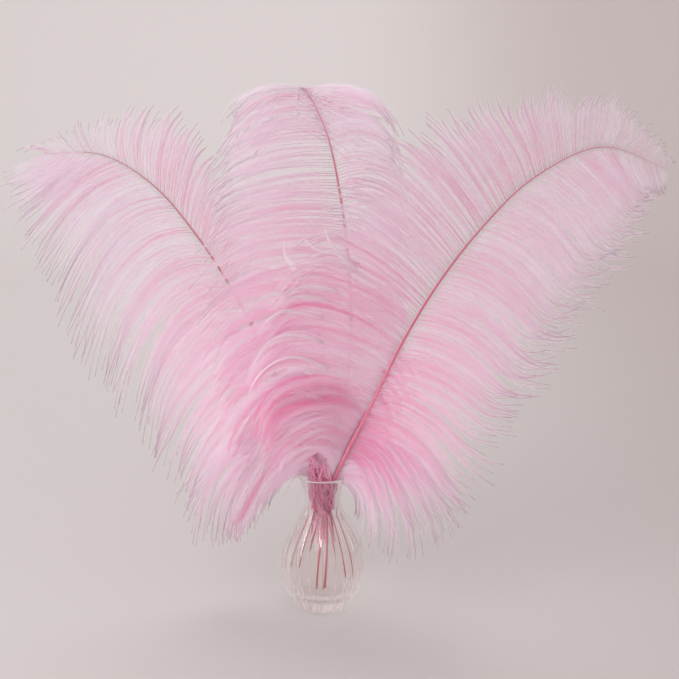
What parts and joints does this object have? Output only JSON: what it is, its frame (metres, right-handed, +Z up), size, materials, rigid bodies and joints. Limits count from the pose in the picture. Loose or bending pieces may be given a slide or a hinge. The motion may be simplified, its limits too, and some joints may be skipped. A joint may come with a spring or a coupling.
{
  "type": "ostrich feathers in a bud vase",
  "caption": "Pale pink dyed ostrich plumes fanned out in a small clear fluted glass bud vase, their cut quills crossing in the neck.",
  "frame": {"origin": "centre of the vase's foot, on the surface it stands on", "axes": "+Z up, +X to the right across the spread of the plumes as seen from the front, +Y away from the front"},
  "size_m": [0.5021, 0.1769, 0.4155],
  "materials": {
    "clear_glass": "gloss",
    "plume_left": "matte",
    "plume_middle": "matte",
    "plume_right": "matte"
  },
  "bodies": {
    "root": {"vase": "clear_glass", "feather_left": "plume_left", "feather_middle": "plume_middle", "feather_right": "plume_right"}
  },
  "joints": []
}
